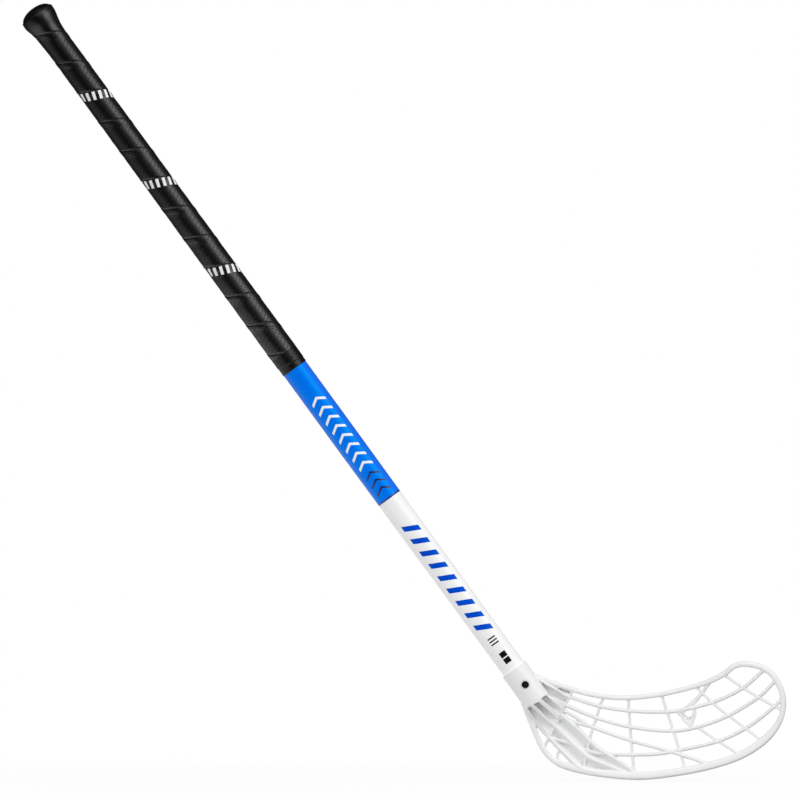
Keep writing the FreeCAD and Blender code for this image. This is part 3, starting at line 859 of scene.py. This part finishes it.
fan = {
    "cuffRadius": 14.25,
    "cuffOverlap": 33.2,
    "cuffSegments": 96,
    "foot": 7,
    "socketGap": -0.3,  # pressed on tight
    "seatGap": 0.2,
    "edgePixels": [(571, 692), (549, 738)],
    "edgeDepth": 5.6,
    "floorDepth": (2, 3.8),  # at the cuff's foot and at the first cross rib
    "floorLength": 26,
    "floorBack": 0.9,  # the floors lie behind the middle
    "floored": 3,  # the other slots go through, the second sheet closes them
    "holeFrom": 2,
    "seatRadius": 5,
    "seatDepth": 0.85,
    "rim": 0.4,
    "lip": {"over": 0.06, "sunk": 0.2, "above": 0.35, "below": 1.6, "edge": 0.5},
    "slots": [
        [(523.5, 702.5), (526.5, 702), (541, 716.5), (554, 727.5), (550.5, 735), (536, 720)],
        [(533.5, 704), (538.5, 702), (558, 719.5), (555, 725)],
        [(540.5, 698), (545.5, 694.5), (561.5, 710), (559, 714)],
        [(537, 680.5), (549, 687), (560, 693.3), (568, 698.3), (565.5, 702.5), (557, 698.5), (547, 695)],
        [(546, 681), (560, 686.5), (571, 691.5), (570, 694.5), (560, 689.6), (548.8, 683.5)],
    ],
}
shaftEnd = onShaft(shaft["length"], 0, 0)
cuffStart = shaft["length"] - fan["cuffOverlap"]
reachScale = blade["reach"] / (blade["toePixel"] - blade["shaftEndPixel"][0])
dropScale = blade["drop"] / (blade["solePixel"] - blade["shaftEndPixel"][1])


def flatPlace(pixel):  # mm along the floor and up, from the shaft's end
    startX, startY = blade["shaftEndPixel"]
    return ((pixel[0] - startX) * reachScale, (startY - pixel[1]) * dropScale)


hookRadius = (blade["reach"] ** 2 + blade["hook"] ** 2) / (2 * blade["hook"])
soleHeight = flatPlace((blade["toePixel"], blade["solePixel"]))[1]
halfHeight = (flatPlace((blade["toePixel"], blade["toeTopPixel"]))[1] - soleHeight) / 2
scoopRadius = (halfHeight ** 2 + blade["scoop"] ** 2) / (2 * blade["scoop"])


def cupDepth(x, z):  # how far back the blade's middle lies
    up = z - soleHeight - halfHeight
    back = blade["scoop"] / 2 - scoopRadius + math.sqrt(scoopRadius ** 2 - up ** 2)
    return math.sqrt((hookRadius + back) ** 2 - x ** 2) - hookRadius


def bladePoint(x, z, out=0.0, step=0.5):  # out is measured from the middle towards the cupped face
    lean = Vector(((cupDepth(x + step, z) - cupDepth(x - step, z)), -2 * step,
                   (cupDepth(x, z + step) - cupDepth(x, z - step)))).normalized()
    return shaftEnd + mm * (Vector((x, cupDepth(x, z), z)) + lean * out)


def heading(line, index):  # the way that a line runs at one of its points
    along = np.array(line[min(index + 1, len(line) - 1)][:2]) - np.array(line[max(index - 1, 0)][:2])
    return along / np.linalg.norm(along)


def squared(share, squareness):  # a round section at 2, squarer above
    return math.copysign(abs(share) ** (2 / squareness), share)


def addRib(mesh, line, squareness=2.1, corners=16):  # line holds x, z, width and depth
    rings = []
    for index, (x, z, width, depth) in enumerate(line):
        along = heading(line, index)
        ring = []
        for step in range(corners):
            turn = tau * (step + 0.5) / corners
            across = squared(math.cos(turn), squareness) * width / 2
            out = squared(math.sin(turn), squareness) * depth / 2
            ring.append(mesh.verts.new(bladePoint(x - along[1] * across, z + along[0] * across, out)))
        rings.append(ring)
    addLoft(mesh, rings)


def addPixelRib(mesh, pixels, width, depth):  # a point may have a width, and a depth, of its own
    plain = (0, 0, width, depth)
    places = [(*flatPlace(pixel), *pixel[2:], *plain[len(pixel):]) for pixel in pixels]
    addRib(mesh, smoothLine(places))


def evenLine(pixels, count):  # points at even steps on a smooth line
    line = np.array(smoothLine([flatPlace(pixel) for pixel in pixels]))
    walked = np.concatenate([[0], np.cumsum(np.linalg.norm(np.diff(line, axis=0), axis=1))])
    steps = np.linspace(0, walked[-1], count)
    return np.stack([np.interp(steps, walked, line[:, axis]) for axis in (0, 1)], axis=1)


def addSheet(mesh, sheet, rows=60, columns=32, fadeFrom=0.55):  # the folds fade out over the last rows
    lower, upper = evenLine(sheet["lower"], rows), evenLine(sheet["upper"], rows)
    grids = []
    for way in (-1, 1):
        grid = []
        for row in range(rows):
            fade = soften(rows, fadeFrom * rows, row) if sheet["fold"] else 0
            line = []
            for column in range(columns + 1):
                share = column / columns
                x, z = lower[row] + (upper[row] - lower[row]) * share
                out = fade * sheet["fold"] * math.cos(tau * sheet["folds"] * share) - sheet["back"]
                out += way * sheet["depth"] / 2
                line.append(mesh.verts.new(bladePoint(x, z, out)))
            grid.append(line)
        grids.append(grid)
    addLoft(mesh, [back + list(reversed(face)) for back, face in zip(*grids)])


def addRail(mesh):  # the outer edge is drawn, so the rail's own line lies half a width inside it
    depth = blade["railDepth"]
    edge = smoothLine([(*flatPlace(pixel), width, depth) for pixels, width in railPixels for pixel in pixels])
    line = []
    for index, (x, z, width, depth) in enumerate(edge):
        along = heading(edge, index)
        line.append((x + along[1] * width / 2, z - along[0] * width / 2, width, depth))
    addRib(mesh, line, blade["railSquareness"], blade["railCorners"])


def pocketCutter():  # the pockets between the fingers, cut from both faces or right through
    cutter = bmesh.new()
    past = 2 * fan["cuffRadius"]
    for index, pixels in enumerate(fan["slots"]):
        floored = index < fan["floored"]
        for way in (-1, 1) if floored else (1,):
            layers = [[], []]
            for pixel in pixels:
                x, z = flatPlace(pixel)
                along = Vector((x, 0, z)).dot(down) - fan["foot"]
                floor = np.interp(along, (0, fan["floorLength"]), fan["floorDepth"]) / 2
                low = way * floor + fan["floorBack"] if floored else -past
                for layer, out in zip(layers, (low, way * past)):
                    layer.append(cutter.verts.new(shaftEnd + mm * Vector((x, out, z))))
            addLoft(cutter, layers)
    return toObject("pockets", cutter)


def makeFan(corners=64, rows=14):  # the cuff's foot spreads into fingers with pockets between them
    upper, lower = [Vector((*flatPlace(pixel), 0)) for pixel in fan["edgePixels"]]
    middle = (upper + lower) / 2
    mesh = bmesh.new()
    rings = []
    for row in range(rows + 1):
        ring = []
        for step in range(corners):
            turn = tau * step / corners
            start = onShaft(shaft["length"] + fan["foot"], fan["cuffRadius"], turn)
            flat = middle + (upper - middle) * math.cos(turn)
            end = shaftEnd + mm * Vector((flat.x, -fan["edgeDepth"] / 2 * math.sin(turn), flat.y))
            ring.append(mesh.verts.new(start.lerp(end, row / rows)))
        rings.append(ring)
    addLoft(mesh, rings)
    body = toObject("fan", mesh)
    cutAway(body, [pocketCutter()])
    return body


def makeCuff():  # the sleeve that the shaft sits in, with the screw's hole and seat
    radius, rim, gap = fan["cuffRadius"], fan["rim"], fan["socketGap"]
    end, bottom = shaft["length"] + fan["foot"], shaft["length"] + fan["seatGap"]
    outline = [(cuffStart, shaftRadius(cuffStart) + gap), (cuffStart, radius - rim),
               (cuffStart + rim, radius), (end, radius), (end, 0), (bottom, 0),
               (bottom, shaftRadius(shaft["length"]) + gap)]
    cuff = turned("cuff", outline, segments=fan["cuffSegments"])
    drills = ((fan["holeFrom"], screw["hole"]), (radius - fan["seatDepth"], fan["seatRadius"]))
    cutAway(cuff, [screwDrill("screwHole", near, wide) for near, wide in drills])
    return cuff


def addLip(piece):  # a crisp lip over the cuff's rim
    lip = fan["lip"]
    inner, outer = shaftRadius(cuffStart) - lip["sunk"], fan["cuffRadius"] + lip["over"]
    mesh = bmesh.new()
    addRing(mesh, cuffStart - lip["above"], cuffStart + lip["below"], inner, outer, lip["edge"])
    bmesh.ops.recalc_face_normals(mesh, faces=mesh.faces)
    mesh.from_mesh(piece.data)
    for face in mesh.faces:
        face.smooth = True
    mesh.to_mesh(piece.data)
    mesh.free()


def makeBlade():
    mesh = bmesh.new()
    addRail(mesh)
    ribs = [(pixels, *blade["longRib"]) for pixels in longRibPixels]
    ribs += [(pixels, *blade["crossRib"]) for pixels in crossRibPixels]
    for rib in ribs + loopPixels:
        addPixelRib(mesh, *rib)
    for sheet in sheets:
        addSheet(mesh, sheet)
    for part in (makeFan(), makeCuff()):
        bmesh.ops.recalc_face_normals(mesh, faces=mesh.faces)
        mesh.from_mesh(part.data)
        bpy.data.objects.remove(part)
    piece = toObject("bladeLattice", mesh)
    blend = piece.modifiers.new("blend", "REMESH")
    blend.mode = "VOXEL"
    blend.voxel_size = blade["voxel"] * mm
    blend.use_smooth_shade = True
    ease = piece.modifiers.new("ease", "SMOOTH")
    ease.factor = blade["easing"]
    ease.iterations = blade["smoothing"]
    applyModifiers(piece)
    thin = piece.modifiers.new("thin", "DECIMATE")
    thin.ratio = min(1, blade["triangles"] / (2 * len(piece.data.polygons)))
    applyModifiers(piece)
    addLip(piece)
    finish = skinFinish(moulded, *blade["finish"], grain=blade["grain"])
    dress(piece, finish, standsFor=["blade"])


# The plug inside the shaft's end stays as the frame gives it

plugFinish = ("white plug", (0.68, 0.68, 0.67), (0.76, 0.76, 0.75), (0.4, 0.5))


def dressPlug():
    plug = frame["nodes"]["shaft_end_plug"]
    plug.data.materials.clear()
    plug.data.materials.append(skinFinish(moulded, *plugFinish))


# Studio

studio = {  # lengths in metres, unless a note says otherwise
    "picture": 800,  # pixels across
    "pixel": 1.0227,  # mm of the stick's plane in one pixel of the picture
    "originPixel": (170.85, 198.49),
    "distance": 12,
    "sensor": 36,  # mm
    "farthest": 100,
    # the soft light: dark from below the blade, brightest from around the shaft, dimmer from over the butt
    "ambient": [(0, 0), (0.3, 0.37), (0.5, 1.27), (0.7, 1.17), (1, 0.53)],
    # what a gloss reflects, from the dark room behind the camera to the white backdrop
    "room": [(0, 0.004), (0.1, 0.006), (0.25, 0.09), (0.4, 0.08), (0.6, 0.05), (0.97, 0.03), (0.99, 1)],
    "sheenWay": (-0.4, -0.1, -0.91),  # the pale sweep below, as a gloss reflects it
    "sheen": [(0.8, 0), (0.9, 0.13), (0.99, 0.55)],
    "crownWay": (0.05, -0.6, 0.78),  # a pale patch above, for the rounded edges of the knob
    "crown": [(0.87, 0), (0.93, 0.45), (1, 0.8)],
    "key": {"way": (0.654, -0.588, 0.4765), "distance": 2.6, "size": 1.9, "power": 23},
    "floorSize": 0.85,
    "floorDrop": 0.0005,
    "floorTone": 0.85,
    "floorGlow": 0.86,
    "clearNear": 0.3,
    "clearFar": 0.8,
}


def makeCamera():
    x, z = [(studio["picture"] / 2 - origin) * studio["pixel"] * mm for origin in studio["originPixel"]]
    camera = addToScene("camera", bpy.data.cameras.new("camera"))
    camera.location = (x, -studio["distance"], -z)
    camera.rotation_euler = (quarter, 0, 0)
    camera.data.sensor_width = studio["sensor"]
    camera.data.lens = studio["sensor"] * studio["distance"] / (studio["picture"] * studio["pixel"] * mm)
    camera.data.clip_end = studio["farthest"]
    bpy.context.scene.camera = camera
    return Vector((x, 0, -z))


def addLamp(name, target, way, distance, size, power):
    lamp = addToScene(name, bpy.data.lights.new(name, "AREA"))
    lamp.data.shape = "SQUARE"
    lamp.data.size = size
    lamp.data.energy = power
    lamp.location = target + Vector(way).normalized() * distance
    lamp.rotation_euler = (target - lamp.location).to_track_quat("-Z", "Y").to_euler()
    lamp.visible_camera = False


def seenRays(owner):  # 1 for what the camera sees, straight or in a reflection
    rays = addNode(owner, "LightPath")
    seen = rays.outputs["Is Camera Ray"]
    for kind in ("Is Glossy Ray", "Is Transmission Ray"):
        either = addNode(owner, "Math", operation="MAXIMUM")
        link(owner, seen, either.inputs[0])
        link(owner, rays.outputs[kind], either.inputs[1])
        seen = either.outputs[0]
    return seen


def levels(owner, where, way, steps):  # grey levels that change along one way
    share = addNode(owner, "VectorMath", operation="DOT_PRODUCT")
    share.inputs[1].default_value = Vector(way).normalized()
    spread = addNode(owner, "MapRange", From_Min=-1)
    ramp = addNode(owner, "ValToRGB")
    stops = ramp.color_ramp.elements
    while len(stops) < len(steps):
        stops.new(0.5)
    for stop, (place, level) in zip(stops, steps):
        stop.position = place
        stop.color = (*grey(level), 1)
    wire(owner, (where, "Generated", share, 0), (share, "Value", spread, "Value"),
         (spread, "Result", ramp, "Fac"))
    return ramp.outputs["Color"]


def makeWorld():
    world = bpy.data.worlds.new("studio")
    bpy.context.scene.world = world
    world.use_nodes = True
    world.cycles.sampling_method = "NONE"  # such an even light needs no map of its own
    soft, out = [world.node_tree.nodes[name] for name in ("Background", "World Output")]
    white = addNode(world, "Background", Strength=1)
    where = addNode(world, "TexCoord")
    rays = addNode(world, "LightPath")
    mirrored = levels(world, where, -front, studio["room"])
    for way, steps in ((studio["sheenWay"], studio["sheen"]), (studio["crownWay"], studio["crown"])):
        total = addNode(world, "MixRGB", blend_type="ADD", Fac=1)
        link(world, mirrored, total.inputs["Color1"])
        link(world, levels(world, where, way, steps), total.inputs["Color2"])
        mirrored = total.outputs["Color"]
    straight = addNode(world, "MixRGB", Color2=(1, 1, 1, 1))
    mix = addNode(world, "MixShader")
    link(world, levels(world, where, -down, studio["ambient"]), soft.inputs["Color"])
    link(world, mirrored, straight.inputs["Color1"])
    link(world, seenRays(world), mix.inputs[0])
    wire(world, (rays, "Is Camera Ray", straight, "Fac"), (straight, "Color", white, "Color"),
         (soft, 0, mix, 1), (white, 0, mix, 2), (mix, 0, out, "Surface"))


def floorFinish():  # a pale floor that goes white to the camera, most of all far from the stick
    finish = bpy.data.materials.new("pale floor")
    finish.use_nodes = True
    finish.node_tree.nodes.clear()
    pale = addNode(finish, "BsdfDiffuse", Color=(*grey(studio["floorTone"]), 1))
    white = addNode(finish, "Emission")
    where = addNode(finish, "TexCoord")
    far = addNode(finish, "VectorMath", operation="LENGTH")
    fade = addNode(finish, "MapRange", interpolation_type="SMOOTHSTEP", From_Min=studio["clearNear"],
                   From_Max=studio["clearFar"], To_Min=studio["floorGlow"])
    both = addNode(finish, "Math", operation="MULTIPLY")
    mix = addNode(finish, "MixShader")
    out = addNode(finish, "OutputMaterial")
    link(finish, seenRays(finish), both.inputs[1])
    wire(finish, (where, "Object", far, 0), (far, "Value", fade, "Value"), (fade, "Result", both, 0),
         (both, 0, mix, 0), (pale, 0, mix, 1), (white, 0, mix, 2), (mix, 0, out, "Surface"))
    return finish


def makeFloor(target):
    mesh = bmesh.new()
    bmesh.ops.create_grid(mesh, x_segments=1, y_segments=1, size=studio["floorSize"])
    floor = toObject("floor", mesh)
    floor.data.materials.append(floorFinish())
    floor.location = (target.x, 0, cadBox[0].z - studio["floorDrop"])
    floor.visible_diffuse = False  # no light thrown up at the blade


def makeStudio():
    target = makeCamera()
    makeWorld()
    makeFloor(target)
    addLamp("key", target, **studio["key"])
    bpy.context.scene.view_settings.view_transform = "Standard"
    print("studio ready")


makeStudio()
makeShaft()
makeFilm()
makePrints()
makeGrip()
makeGripDashes()
makeFinishingTape()
makeEndCap()
makeCollar()
makeScrew()
makeBlade()
dressPlug()
